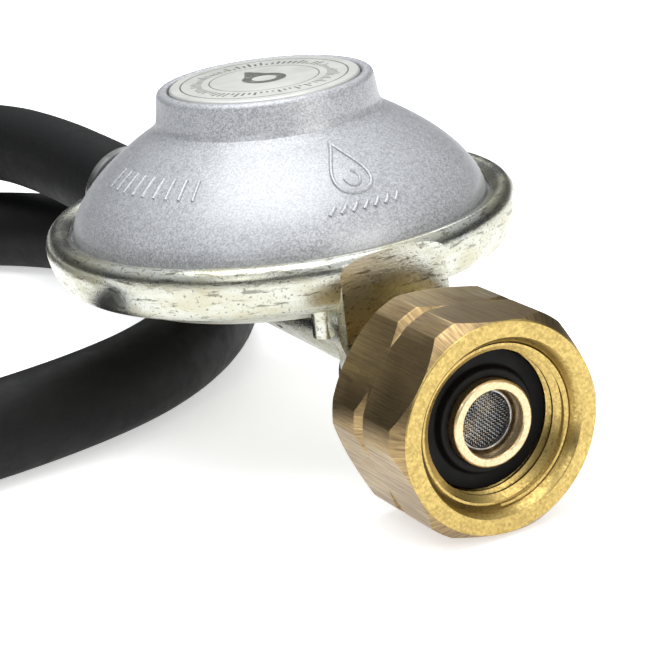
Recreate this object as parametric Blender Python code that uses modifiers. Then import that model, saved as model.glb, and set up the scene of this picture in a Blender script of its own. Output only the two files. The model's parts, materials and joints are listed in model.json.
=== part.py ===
# Low-pressure propane regulator with its inlet union nut and a rubber hose.
# The regulator stands level: its union nut and the hose under its duct touch z = 0.
# Its own axis is +Z through the origin, the inlet points along -Y, the outlet along +Y.
# Profiles are (radius, height) in millimetres; everything in the scene is in metres.
import math

import bmesh
import bpy
from mathutils import Vector

MM = 0.001
GAP = 0.3  # between pieces that touch

# Regulator
CLAMP_Z = 31.6  # underside of the diaphragm's edge
DUCT_Z = 25.4
DUCT_R = 9.4
OUTLET_END = 42.0
TROUGH_R = 7.4

# Inlet
NUT_FLATS = 30.0
NUT_CORNER_R = 16.42
NUT_TURN = 52.9  # degrees from level to the first corner
NUT_FACE = 61.5
NUT_LENGTH = 19.5
INLET_Z = 15.72  # lets the nut's lowest corner touch the ground
INLET_FLAT = 35.35
BLOCK_HALF = 8.6

# Valve
VALVE_Z = 25.0
PIVOT_Y = -11.5
PIVOT_Z = 21.0
JET_TIP = 24.2

# Hose
HOSE_R = 7.5
HOSE_LOW = 7.55
HOSE_START = 61.8
END_Z = 9.8
END_FLATS = 19.0
HOSE_ROUTE = [
    (0.0, HOSE_START, DUCT_Z),
    (0.0, 79.0, 25.9),
    (-0.5, 97.0, 26.2),
    (-2.0, 115.0, 26.0),
    (-5.0, 133.0, 24.6),
    (-9.5, 151.0, 21.4),
    (-14.5, 168.0, 17.6),
    (-20.0, 185.0, 13.4),
    (-26.5, 202.0, 9.8),
    (-35.0, 218.0, 7.9),
    (-47.5, 232.5, HOSE_LOW),
    (-64.5, 243.0, HOSE_LOW),
    (-86.0, 246.0, HOSE_LOW),
    (-111.0, 239.5, HOSE_LOW),
    (-135.0, 222.0, HOSE_LOW),
    (-152.0, 196.0, HOSE_LOW),
    (-161.0, 166.0, HOSE_LOW),
    (-163.0, 136.0, HOSE_LOW),
    (-159.0, 104.0, HOSE_LOW),
    (-148.0, 71.0, HOSE_LOW),
    (-128.0, 42.0, HOSE_LOW),
    (-101.0, 21.5, HOSE_LOW),
    (-72.0, 12.5, HOSE_LOW),
    (-44.0, 12.0, HOSE_LOW),
    (-18.0, 19.5, HOSE_LOW),
    (1.0, 36.0, HOSE_LOW),
    (11.5, 58.0, HOSE_LOW),
    (12.5, 84.0, HOSE_LOW),
    (6.0, 105.0, HOSE_LOW),
    (-6.0, 124.5, HOSE_LOW),
    (-24.0, 140.0, HOSE_LOW),
    (-47.0, 149.0, HOSE_LOW),
    (-71.0, 147.5, HOSE_LOW),
    (-90.0, 137.5, 8.4),
    (-103.0, 123.0, 9.4),
    (-109.5, 106.0, END_Z),
    (-109.5, 90.0, END_Z),
]
HOSE_POINTS = 56


def clear_scene():
    for old in list(bpy.data.objects):
        bpy.data.objects.remove(old, do_unlink=True)


clear_scene()
parts = bpy.data.collections.new("propane_regulator_hose")
helpers = bpy.data.collections.new("cutters")
bpy.context.scene.collection.children.link(parts)
bpy.context.scene.collection.children.link(helpers)


def make_material(name, colour, roughness, metallic):
    material = bpy.data.materials.new(name)
    material.use_nodes = True
    shader = material.node_tree.nodes["Principled BSDF"]
    shader.inputs["Base Color"].default_value = (*colour, 1.0)
    shader.inputs["Roughness"].default_value = roughness
    shader.inputs["Metallic"].default_value = metallic
    return material


SILVER_PAINT = make_material("silver_paint", (0.48, 0.50, 0.52), 0.38, 0.8)
LABEL = make_material("label_plastic", (0.62, 0.64, 0.60), 0.45, 0.0)
ZINC = make_material("zinc_plate", (0.66, 0.68, 0.58), 0.3, 0.9)
STEEL = make_material("spring_steel", (0.45, 0.46, 0.48), 0.3, 1.0)
BRASS = make_material("brass", (0.62, 0.45, 0.16), 0.3, 1.0)
PALE_BRASS = make_material("pale_brass", (0.78, 0.62, 0.38), 0.25, 1.0)
MESH_STEEL = make_material("woven_steel", (0.35, 0.36, 0.37), 0.35, 1.0)
RUBBER = make_material("black_rubber", (0.012, 0.012, 0.013), 0.6, 0.0)
NITRILE = make_material("nitrile_sheet", (0.03, 0.03, 0.035), 0.7, 0.0)
BLACK_PLASTIC = make_material("black_plastic", (0.03, 0.03, 0.03), 0.45, 0.0)
GASKET = make_material("gasket_rubber", (0.01, 0.01, 0.01), 0.5, 0.0)


def add_object(name, data, material, helper=False):
    obj = bpy.data.objects.new(name, data)
    (helpers if helper else parts).objects.link(obj)
    if material:
        data.materials.append(material)
    if helper:
        obj.hide_render = True
        obj.display_type = "WIRE"
    return obj


def along_inlet(obj, z=INLET_Z):
    # The piece's own +Z becomes the inlet direction, -Y.
    obj.rotation_euler = (math.radians(90), 0.0, 0.0)
    obj.location = (0.0, 0.0, z * MM)
    return obj


def along_outlet(obj, z=DUCT_Z):
    obj.rotation_euler = (math.radians(-90), 0.0, 0.0)
    obj.location = (0.0, 0.0, z * MM)
    return obj


def turned(name, profile, material, steps=40, closed=True, helper=False):
    # A closed outline is a ring round the axis; an open one starts and ends on the axis.
    points = [Vector((r * MM, 0.0, z * MM)) for r, z in profile]
    mesh = bpy.data.meshes.new(name)
    edges = [(i, i + 1) for i in range(len(points) - 1)]
    if closed:
        edges.append((len(points) - 1, 0))
    mesh.from_pydata(points, edges, [])
    obj = add_object(name, mesh, material, helper)
    screw = obj.modifiers.new("turn", "SCREW")
    screw.steps = steps
    screw.render_steps = steps
    screw.use_merge_vertices = True
    screw.merge_threshold = 0.00001
    screw.use_smooth_shade = False
    return obj


def rod(name, radius, low, high, steps=32, material=None, helper=True):
    # A cylinder along its own Z from low to high.
    mesh = bpy.data.meshes.new(name)
    shape = bmesh.new()
    bmesh.ops.create_cone(
        shape,
        cap_ends=True,
        segments=steps,
        radius1=radius * MM,
        radius2=radius * MM,
        depth=(high - low) * MM,
    )
    bmesh.ops.translate(shape, verts=shape.verts, vec=(0, 0, (high + low) / 2 * MM))
    shape.to_mesh(mesh)
    shape.free()
    return add_object(name, mesh, material, helper)


def box(name, low, high, material=None, helper=True):
    mesh = bpy.data.meshes.new(name)
    shape = bmesh.new()
    bmesh.ops.create_cube(shape, size=1.0)
    size = [(b - a) * MM for a, b in zip(low, high)]
    middle = [(a + b) / 2 * MM for a, b in zip(low, high)]
    bmesh.ops.scale(shape, vec=size, verts=shape.verts)
    bmesh.ops.translate(shape, vec=middle, verts=shape.verts)
    shape.to_mesh(mesh)
    shape.free()
    return add_object(name, mesh, material, helper)


def combine(obj, operation, *others):
    for other in others:
        boolean = obj.modifiers.new(operation.lower(), "BOOLEAN")
        boolean.operation = operation
        boolean.solver = "EXACT"
        boolean.object = other
    return obj


def helix(name, radius, wire, low, high, turns, material, per_turn=10):
    # The end coils lie nearly flat, as on a ground compression spring.
    count = int(turns * per_turn)
    points = []
    for i in range(count + 1):
        share = i / count
        eased = share - math.sin(2 * math.pi * share) / (2 * math.pi) * 0.6
        angle = 2 * math.pi * turns * share
        height = low + wire + (high - low - 2 * wire) * eased
        points.append((radius * math.cos(angle), radius * math.sin(angle), height))
    return tube(name, points, wire, material, 2)


def tube(name, points, radius, material, resolution):
    curve = bpy.data.curves.new(name, "CURVE")
    curve.dimensions = "3D"
    curve.bevel_depth = radius * MM
    curve.bevel_resolution = resolution
    curve.use_fill_caps = True
    curve.resolution_u = 1
    curve.render_resolution_u = 0
    spline = curve.splines.new("POLY")
    spline.points.add(len(points) - 1)
    for point, spot in zip(spline.points, points):
        point.co = (*(v * MM for v in spot), 1.0)
    return add_object(name, curve, material)


def smooth_route(route, count):
    # A Catmull-Rom curve through the route, read at equal steps of its length.
    spots = [Vector(p) for p in route]
    spots = [2 * spots[0] - spots[1]] + spots + [2 * spots[-1] - spots[-2]]
    fine = []
    for a, b, c, d in zip(spots, spots[1:], spots[2:], spots[3:]):
        for i in range(20):
            t = i / 20
            fine.append(
                0.5
                * (
                    2 * b
                    + (c - a) * t
                    + (2 * a - 5 * b + 4 * c - d) * t * t
                    + (3 * b - a - 3 * c + d) * t**3
                )
            )
    fine.append(spots[-2])
    travelled = [0.0]
    for a, b in zip(fine, fine[1:]):
        travelled.append(travelled[-1] + (b - a).length)
    even = []
    j = 0
    for i in range(count):
        goal = travelled[-1] * i / (count - 1)
        while j < len(fine) - 2 and travelled[j + 1] < goal:
            j += 1
        share = (goal - travelled[j]) / (travelled[j + 1] - travelled[j])
        even.append(fine[j].lerp(fine[j + 1], min(max(share, 0.0), 1.0)))
    return even, travelled[-1]


def make_upper_cover():
    cover = turned(
        "upper_cover",
        [
            (16.1, 55.1), (16.6, 54.6), (17.15, 51.0), (17.5, 49.8), (18.6, 48.8),
            (21.5, 47.0), (25.6, 44.0), (28.7, 41.0), (30.9, 38.0), (31.8, 36.0),
            (32.1, 34.2), (34.6, 34.2), (34.6, 32.5), (30.8, 32.5), (30.2, 34.6),
            (28.7, 37.4), (26.4, 40.2), (23.2, 42.8), (18.6, 45.6), (13.6, 47.8),
            (13.6, 53.9), (14.9, 53.9), (14.9, 55.1),
        ],
        SILVER_PAINT,
        36,
    )
    vent = rod("vent_cut", 1.1, 20.0, 40.0, 16)
    vent.rotation_euler = (math.radians(-52), 0.0, math.radians(-25))
    vent.location = (0.0, 0.0, 18.0 * MM)
    combine(cover, "DIFFERENCE", vent)
    return cover


def make_label_disc():
    return turned(
        "label_disc",
        [(0, 55.2), (14.3, 55.2), (14.6, 54.9), (14.6, 54.2), (0, 54.2)],
        LABEL,
        32,
        closed=False,
    )


def make_adjusting_screw():
    screw = turned(
        "adjusting_screw",
        [(3.6, 53.0), (13.2, 53.0), (13.2, 49.6), (3.6, 49.6)],
        BLACK_PLASTIC,
        28,
    )
    slot = box("key_slot", (-9.0, -1.4, 51.2), (9.0, 1.4, 54.0))
    combine(screw, "DIFFERENCE", slot)
    return screw


def make_lower_body():
    body = turned(
        "lower_body",
        [
            (0, 35.2), (32.5, 35.2), (33.5, 35.8), (34.7, 36.0), (35.6, 35.5),
            (36.2, 34.6), (36.4, 33.4), (36.25, 32.0), (35.85, 30.4), (35.3, 29.1),
            (34.5, 28.2), (33.2, 27.8), (31.8, 27.2), (28.0, 25.5), (20.0, 22.9),
            (11.0, 20.9), (0, 20.6),
        ],
        ZINC,
        36,
        closed=False,
    )
    duct = along_outlet(rod("duct", DUCT_R, -34.5, OUTLET_END, 28))
    block = box(
        "block",
        (-BLOCK_HALF, -INLET_FLAT, INLET_Z),
        (BLOCK_HALF, -INLET_FLAT + 3.2, 33.6),
    )
    foot = along_inlet(rod("block_foot", BLOCK_HALF, INLET_FLAT - 3.2, INLET_FLAT, 28))
    boss = along_inlet(rod("inlet_boss", 6.5, 27.0, INLET_FLAT - 1.0, 20))
    ribs = []
    for side in (-1, 1):
        rib = rod(f"rib_{side}", 1.9, 23.4, 30.0, 12)
        rib.location = (side * 8.9 * MM, -29.4 * MM, 0.0)
        ribs.append(rib)
    combine(body, "UNION", duct, block, foot, boss, *ribs)
    flat = box("flat_cut", (-BLOCK_HALF, -40.0, 12.0), (BLOCK_HALF, -INLET_FLAT, 40.0))
    cavity = turned(
        "cavity_cut",
        [
            (0, 37.5), (32.5, 37.5), (32.5, 34.6), (34.9, 34.5), (34.9, 31.3),
            (31.0, 31.3), (30.2, 29.5), (27.5, 27.3), (20.0, 24.7), (11.0, 22.7),
            (0, 22.4),
        ],
        None,
        36,
        closed=False,
        helper=True,
    )
    trough = along_outlet(rod("trough_cut", TROUGH_R, -17.0, 24.0, 24))
    guide = along_inlet(rod("guide_cut", 4.1, 10.0, 26.0, 16), z=VALVE_Z)
    jet_hole = along_inlet(rod("jet_cut", 3.5, 20.0, 31.0, 16), z=VALVE_Z)
    riser = rod("riser_cut", 1.9, INLET_Z - 1.0, VALVE_Z + 1.0, 12)
    riser.location = (0.0, -31.0 * MM, 0.0)
    inlet = along_inlet(rod("inlet_cut", 5.8, 29.0, 45.0, 20))
    outlet = along_outlet(rod("outlet_cut", 6.3, 31.0, 50.0, 20))
    passage = along_outlet(rod("outlet_passage", 3.0, 20.0, 33.0, 16))
    pin_hole = rod("pin_cut", 1.25, -7.9, 7.9, 16)
    pin_hole.rotation_euler = (0.0, math.radians(90), 0.0)
    pin_hole.location = (0.0, PIVOT_Y * MM, PIVOT_Z * MM)
    combine(
        body, "DIFFERENCE", flat, cavity, trough, guide, jet_hole, riser, inlet,
        outlet, passage, pin_hole,
    )
    return body


def make_diaphragm_set():
    top = CLAMP_Z + 0.6
    turned(
        "diaphragm",
        [(34.6, top), (34.6, CLAMP_Z), (2.2, CLAMP_Z), (2.2, top)],
        NITRILE,
        36,
    )
    turned(
        "diaphragm_plate",
        [
            (2.2, top + 1.3), (23.0, top + 1.3), (24.0, top + 2.6), (24.9, top + 2.6),
            (24.0, top + GAP), (2.2, top + GAP),
        ],
        ZINC,
        28,
    )
    stem = turned(
        "diaphragm_stem",
        [
            (0, 45.5), (1.5, 45.5), (1.8, 45.2), (1.8, 31.3), (8.0, 31.3), (8.0, 30.1),
            (3.6, 30.1), (3.6, 24.0), (0, 24.0),
        ],
        BRASS,
        20,
        closed=False,
    )
    combine(stem, "DIFFERENCE", box("stirrup_cut", (-2.4, -6.0, 25.2), (2.4, 6.0, 28.3)))
    helix("main_spring", 9.6, 0.8, top + 1.7, 49.2, 4.5, STEEL)
    helix("relief_spring", 3.7, 0.4, top + 1.7, 41.0, 4, STEEL, 8)
    turned(
        "relief_nut",
        [(2.1, 43.4), (4.4, 43.4), (4.8, 43.0), (4.8, 41.3), (2.1, 41.3)],
        BRASS,
        16,
    )


def make_valve():
    along_inlet(
        turned(
            "inlet_jet",
            [
                (1.0, JET_TIP), (1.6, JET_TIP), (2.0, 25.6), (3.2, 25.8), (3.2, 30.4),
                (1.0, 30.4),
            ][::-1],
            BRASS,
            16,
        ),
        z=VALVE_Z,
    )
    along_inlet(
        rod("seat_pad", 3.0, 22.2, 23.4, 20, NITRILE, helper=False), z=VALVE_Z
    )
    along_inlet(
        rod("valve_holder", 3.7, 16.6, 21.9, 20, PALE_BRASS, helper=False), z=VALVE_Z
    )
    pin = rod("lever_pin", 1.0, -7.6, 7.6, 16, STEEL, helper=False)
    pin.rotation_euler = (0.0, math.radians(90), 0.0)
    pin.location = (0.0, PIVOT_Y * MM, PIVOT_Z * MM)


def make_lever():
    # A bell crank: the long arm ends in the stem's slot, the short arm pushes the valve.
    outline = [
        (-13.4, 20.0), (-12.4, 18.9), (-10.6, 18.9), (-9.5, 20.0), (-9.0, 21.8),
        (-3.0, 26.0), (2.2, 26.0), (2.2, 27.6), (-3.8, 27.6), (-10.4, 23.6),
        (-12.2, 23.7), (-14.4, 26.2), (-16.3, 26.2), (-16.3, 23.8), (-15.2, 23.6),
        (-13.7, 21.8),
    ]
    curve = bpy.data.curves.new("lever", "CURVE")
    curve.dimensions = "2D"
    curve.fill_mode = "BOTH"
    curve.extrude = 2.0 * MM
    hole = [
        (
            PIVOT_Y + 1.3 * math.cos(2 * math.pi * i / 16),
            PIVOT_Z - 1.3 * math.sin(2 * math.pi * i / 16),
        )
        for i in range(16)
    ]
    for loop in (outline, hole):
        spline = curve.splines.new("POLY")
        spline.points.add(len(loop) - 1)
        spline.use_cyclic_u = True
        for point, (y, z) in zip(spline.points, loop):
            point.co = ((y - PIVOT_Y) * MM, (z - PIVOT_Z) * MM, 0.0, 1.0)
    lever = add_object("lever", curve, ZINC)
    lever.rotation_euler = (math.radians(90), 0.0, math.radians(90))
    lever.location = (0.0, PIVOT_Y * MM, PIVOT_Z * MM)
    return lever


def make_inlet():
    along_inlet(
        turned(
            "inlet_stem",
            [
                (4.9, 59.2), (5.9, 59.2), (6.2, 58.9), (6.2, 53.6), (9.6, 53.6),
                (9.6, 44.6), (7.0, 44.3), (7.0, 39.4), (8.3, 39.2), (8.3, 37.6),
                (5.5, 37.6), (5.5, 29.4), (2.6, 29.4), (2.6, 50.0), (4.7, 50.6),
                (4.7, 58.9),
            ],
            PALE_BRASS,
            32,
        )
    )
    along_inlet(
        turned(
            "stem_washer",
            [(9.3, 37.3), (9.3, 35.65), (5.8, 35.65), (5.8, 37.3)],
            STEEL,
            24,
        )
    )
    along_inlet(
        turned(
            "inlet_gasket",
            [
                (6.5, 57.4), (8.2, 57.4), (8.5, 56.2), (10.0, 56.2), (10.0, 53.9),
                (6.5, 53.9),
            ],
            GASKET,
            28,
        )
    )
    along_inlet(
        turned(
            "filter_ring",
            [(3.5, 57.6), (4.1, 57.6), (4.4, 57.3), (4.4, 56.2), (3.5, 56.2)],
            STEEL,
            24,
        )
    )
    along_inlet(
        rod("filter_mesh", 4.4, 55.6, 55.9, 24, MESH_STEEL, helper=False)
    )


def hexagon(name, flats, low, high, turn):
    prism = rod(name, flats / 2 / math.cos(math.pi / 6), low, high, 6)
    # create_cone puts its first corner on its own +Y
    for vertex in prism.data.vertices:
        angle = math.radians(turn - 90.0)
        x, y, z = vertex.co
        vertex.co = (
            x * math.cos(angle) - y * math.sin(angle),
            x * math.sin(angle) + y * math.cos(angle),
            z,
        )
    return prism


def make_union_nut():
    back = NUT_FACE - NUT_LENGTH
    nut = along_inlet(
        turned(
            "union_nut",
            [
                (12.7, NUT_FACE), (14.9, NUT_FACE), (NUT_CORNER_R, NUT_FACE - 2.0),
                (NUT_CORNER_R, 52.2), (15.3, 51.2), (15.3, 50.8), (NUT_CORNER_R, 49.8),
                (NUT_CORNER_R, back + 1.6), (15.0, back), (7.5, back), (7.5, 43.5),
                (10.4, 43.9), (10.4, 59.4),
            ],
            BRASS,
            48,
        )
    )
    prism = along_inlet(
        hexagon("nut_hexagon", NUT_FLATS, back - 2.0, NUT_FACE + 2.0, NUT_TURN)
    )
    combine(nut, "INTERSECT", prism)
    return nut


def make_outlet():
    along_outlet(
        turned(
            "hose_tail",
            [
                (4.0, 61.2), (4.0, 44.6), (8.2, 44.6), (8.2, 42.3), (6.0, 42.3),
                (6.0, 31.4), (2.6, 31.4), (2.6, 61.2),
            ],
            BRASS,
            20,
        )
    )
    along_outlet(turned("hose_ferrule", ferrule_profile(61.5, 44.9), STEEL, 20))


def ferrule_profile(top, low):
    # Three crimped waists between four rounded lands
    step = (top - low) / 7
    outer = []
    for i in range(8):
        radius = 9.3 if i % 2 == 0 else 8.6
        outer.append((radius, top - i * step))
    outer[-1] = (9.0, low)
    return [(4.3, top)] + [(9.0, top)] + outer[1:] + [(4.3, low)]


def make_hose_and_end():
    path, length = smooth_route(HOSE_ROUTE, HOSE_POINTS)
    print(f"hose length {length:.1f} mm")
    tube("hose", path, HOSE_R, RUBBER, 3)
    frame = bpy.data.objects.new("hose_end", None)
    parts.objects.link(frame)
    frame.location = path[-1] * MM
    # The connector's own +Z runs on from the hose's end, along -Y.
    frame.rotation_euler = (math.radians(90), 0.0, 0.0)
    pieces = [
        turned("end_ferrule", ferrule_profile(17.0, GAP), STEEL, 20),
        turned(
            "end_tail",
            [
                (3.0, 27.5), (3.2, 26.0), (7.4, 26.0), (7.4, 22.3), (5.4, 21.8),
                (5.4, 19.0), (7.6, 19.0), (7.6, 17.3), (4.0, 17.3), (4.0, 0.6),
                (2.6, 0.6), (2.6, 27.5),
            ],
            BRASS,
            20,
        ),
        turned(
            "end_gasket",
            [(7.8, 28.2), (7.8, 26.3), (3.6, 26.3), (3.6, 28.2)],
            GASKET,
            20,
        ),
    ]
    nut = turned(
        "end_nut",
        [
            (9.0, 33.0), (9.6, 33.0), (10.9, 32.2), (10.9, 20.0), (9.8, 19.3),
            (5.9, 19.3), (5.9, 21.6), (8.2, 22.0), (8.2, 32.2),
        ],
        BRASS,
        36,
    )
    prism = hexagon("end_hexagon", END_FLATS, 18.0, 35.0, 0.0)
    combine(nut, "INTERSECT", prism)
    for piece in (*pieces, nut, prism):
        piece.parent = frame


make_upper_cover()
make_label_disc()
make_adjusting_screw()
make_lower_body()
make_diaphragm_set()
make_valve()
make_lever()
make_inlet()
make_union_nut()
make_outlet()
make_hose_and_end()
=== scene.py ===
import json
import math

import bmesh
import bpy
from mathutils import Matrix, Vector

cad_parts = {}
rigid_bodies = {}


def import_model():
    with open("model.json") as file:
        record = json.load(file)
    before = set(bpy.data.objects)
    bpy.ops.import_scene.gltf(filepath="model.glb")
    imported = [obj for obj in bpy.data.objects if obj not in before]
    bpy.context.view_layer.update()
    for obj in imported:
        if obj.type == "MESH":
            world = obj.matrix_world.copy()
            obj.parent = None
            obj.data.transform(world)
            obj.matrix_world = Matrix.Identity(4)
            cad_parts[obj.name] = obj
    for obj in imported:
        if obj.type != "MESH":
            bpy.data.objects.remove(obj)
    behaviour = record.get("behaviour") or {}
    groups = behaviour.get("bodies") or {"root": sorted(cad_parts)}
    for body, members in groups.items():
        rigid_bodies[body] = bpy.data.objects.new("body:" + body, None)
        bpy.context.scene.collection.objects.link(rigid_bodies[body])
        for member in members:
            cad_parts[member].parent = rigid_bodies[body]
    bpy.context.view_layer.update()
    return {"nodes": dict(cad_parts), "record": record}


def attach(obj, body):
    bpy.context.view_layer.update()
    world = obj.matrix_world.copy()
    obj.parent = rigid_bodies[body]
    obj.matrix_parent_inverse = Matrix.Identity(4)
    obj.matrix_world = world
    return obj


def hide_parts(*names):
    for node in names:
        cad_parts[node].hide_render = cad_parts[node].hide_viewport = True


for old in list(bpy.data.objects):
    bpy.data.objects.remove(old, do_unlink=True)

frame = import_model()
nodes = frame["nodes"]
mm = 0.001

# Camera, floor and light
view = {
    "place": (-142.7, -304.0, 125.9),
    "forward": (0.416, 0.854, -0.314),
    "up": (0.241, 0.230, 0.944),
    "lens": 124.6,
}


def placeCamera():
    data = bpy.data.cameras.new("camera")
    data.lens = view["lens"]
    data.sensor_width = 36.0
    data.clip_start = 0.01
    camera = bpy.data.objects.new("camera", data)
    bpy.context.scene.collection.objects.link(camera)
    forward = Vector(view["forward"]).normalized()
    right = forward.cross(Vector(view["up"])).normalized()
    up = right.cross(forward)
    turn = Matrix((right, up, -forward)).transposed().to_4x4()
    camera.matrix_world = Matrix.Translation(Vector(view["place"]) * mm) @ turn
    bpy.context.scene.camera = camera


def linear(code):
    # sRGB hex to the linear colour a shader takes
    out = []
    for i in (0, 2, 4):
        c = int(code[i : i + 2], 16) / 255
        out.append(c / 12.92 if c <= 0.04045 else ((c + 0.055) / 1.055) ** 2.4)
    return (*out, 1.0)


def addNode(tree, kind, settings=None, **sockets):
    # Sockets are given by name (spaces as _) or as s0, s1, …; each takes a value or an output.
    node = tree.nodes.new(kind)
    for key, value in (settings or {}).items():
        setattr(node, key, value)
    for key, value in sockets.items():
        if key[0] == "s" and key[1:].isdigit():
            socket = node.inputs[int(key[1:])]
        else:
            socket = node.inputs[key.replace("_", " ")]
        if isinstance(value, bpy.types.NodeSocket):
            tree.links.new(value, socket)
        else:
            socket.default_value = value
    return node


def newMaterial(name, **sockets):
    material = bpy.data.materials.new(name)
    material.use_nodes = True
    tree = material.node_tree
    tree.nodes.clear()
    shader = addNode(tree, "ShaderNodeBsdfPrincipled", None, **sockets)
    addNode(tree, "ShaderNodeOutputMaterial", None, Surface=shader.outputs[0])
    return material, tree, shader


lamps = [
    # name, place and aim in millimetres, size, watts, colour
    ("top", (-40, -40, 620), (0, 0, 20), 520, 2.7, "ffffff"),
    ("front", (200, -560, 260), (0, -20, 20), 300, 1.0, "fffaf4"),
    ("left", (-460, -420, 420), (0, 0, 30), 240, 0.4, "ffffff"),
    ("back", (300, 520, 520), (0, 0, 30), 300, 0.6, "ffffff"),
]


def lightScene():
    for name, place, aim, size, watts, colour in lamps:
        data = bpy.data.lights.new(name, "AREA")
        data.shape = "SQUARE"
        data.size = size * mm
        data.energy = watts
        data.color = linear(colour)[:3]
        lamp = bpy.data.objects.new(name, data)
        bpy.context.scene.collection.objects.link(lamp)
        lamp.location = Vector(place) * mm
        away = (Vector(place) - Vector(aim)).to_track_quat("Z", "Y")
        lamp.rotation_euler = away.to_euler()
    world = bpy.data.worlds.new("studio")
    world.use_nodes = True
    # a bright ceiling over a dark wall, so that metal edges show a dark band
    tree = world.node_tree
    ray = addNode(tree, "ShaderNodeTexCoord").outputs["Generated"]
    rise = addNode(tree, "ShaderNodeSeparateXYZ", None, Vector=ray).outputs[2]
    glow = addNode(
        tree,
        "ShaderNodeMapRange",
        {"interpolation_type": "SMOOTHSTEP"},
        Value=rise,
        From_Min=0.3,
        From_Max=0.75,
        To_Min=0.07,
        To_Max=1.0,
    )
    back = tree.nodes["Background"]
    back.inputs["Color"].default_value = linear("eceef2")
    tree.links.new(glow.outputs[0], back.inputs["Strength"])
    bpy.context.scene.world = world
    bpy.context.scene.view_settings.view_transform = "Standard"
    mesh = bpy.data.meshes.new("floor")
    half = 6.0
    mesh.from_pydata(
        [(-half, -half, 0), (half, -half, 0), (half, half, 0), (-half, half, 0)],
        [],
        [(0, 1, 2, 3)],
    )
    mesh.transform(Matrix.Translation((0, 0, -0.0001)))
    floor = bpy.data.objects.new("floor", mesh)
    bpy.context.scene.collection.objects.link(floor)
    paper, tree, shader = newMaterial(
        "whitePaper",
        Base_Color=linear("f7f7f7"),
        Roughness=0.9,
        Emission_Color=(1.0, 1.0, 1.0, 1.0),
        Emission_Strength=0.55,
    )
    mesh.materials.append(paper)


placeCamera()
lightScene()
print("camera and light placed")


# Materials
def bumpOf(tree, height, strength, distance):
    bump = addNode(
        tree, "ShaderNodeBump", None, Strength=strength, Distance=distance, Height=height
    )
    return bump.outputs["Normal"]


def scaled(tree, scale, source=None):
    # Object coordinates in units of a real size: scale is turns per metre along X, Y and Z
    if source is None:
        source = addNode(tree, "ShaderNodeTexCoord").outputs["Object"]
    node = addNode(tree, "ShaderNodeMapping", None, Vector=source, Scale=scale)
    return node.outputs["Vector"]


def noiseOn(tree, where, detail=3.0, rough=0.55, size=1.0):
    node = addNode(
        tree, "ShaderNodeTexNoise", None, Vector=where, Scale=size, Detail=detail, Roughness=rough
    )
    return node.outputs["Fac"]


def span(tree, value, low, high, out0=0.0, out1=1.0):
    node = addNode(
        tree,
        "ShaderNodeMapRange",
        {"clamp": True},
        Value=value,
        From_Min=low,
        From_Max=high,
        To_Min=out0,
        To_Max=out1,
    )
    return node.outputs[0]


def mixed(tree, share, a, b):
    node = addNode(tree, "ShaderNodeMix", {"data_type": "RGBA"}, s0=share, s6=a, s7=b)
    return node.outputs[2]


def maths(tree, what, a, b=0.0):
    return addNode(tree, "ShaderNodeMath", {"operation": what}, s0=a, s1=b).outputs[0]


def roundCoords(tree, along="z", middle=(0.0, 0.0, 0.0)):
    # Distance round, distance out and height for a turned piece, so a pattern can follow the lathe
    place = addNode(tree, "ShaderNodeTexCoord").outputs["Object"]
    moved = addNode(
        tree, "ShaderNodeVectorMath", {"operation": "SUBTRACT"}, s0=place, s1=middle
    ).outputs[0]
    parts = addNode(tree, "ShaderNodeSeparateXYZ", None, Vector=moved).outputs
    u, v, w = (parts[0], parts[1], parts[2]) if along == "z" else (parts[0], parts[2], parts[1])
    angle = maths(tree, "ARCTAN2", v, u)
    squares = maths(tree, "ADD", maths(tree, "MULTIPLY", u, u), maths(tree, "MULTIPLY", v, v))
    radius = maths(tree, "SQRT", squares)
    return angle, radius, w


def combined(tree, x, y, z):
    return addNode(tree, "ShaderNodeCombineXYZ", None, X=x, Y=y, Z=z).outputs[0]


def makeFlakePaint():
    # Sprayed aluminium-flake enamel: flakes of about 0.2 mm, each catching the light by itself
    material, tree, shader = newMaterial(
        "aluminiumFlakeEnamel", Metallic=0.4, Roughness=0.4, Coat_Weight=0.1, Coat_Roughness=0.35
    )
    flakes = addNode(
        tree, "ShaderNodeTexVoronoi", {"feature": "F1"}, Vector=scaled(tree, (5200.0,) * 3), Scale=1.0
    )
    grain = addNode(tree, "ShaderNodeSeparateColor", None, Color=flakes.outputs["Color"]).outputs[0]
    clouds = noiseOn(tree, scaled(tree, (90.0,) * 3))
    sprayed = mixed(tree, span(tree, grain, 0.05, 0.95), linear("9a9ca0"), linear("c6c8cb"))
    faded = mixed(tree, span(tree, clouds, 0.4, 0.7, 0.0, 0.15), sprayed, linear("a9acb1"))
    tree.links.new(faded, shader.inputs["Base Color"])
    tree.links.new(span(tree, grain, 0, 1, 0.3, 0.5), shader.inputs["Roughness"])
    tree.links.new(bumpOf(tree, grain, 0.22, 0.00004), shader.inputs["Normal"])
    return material


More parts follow.
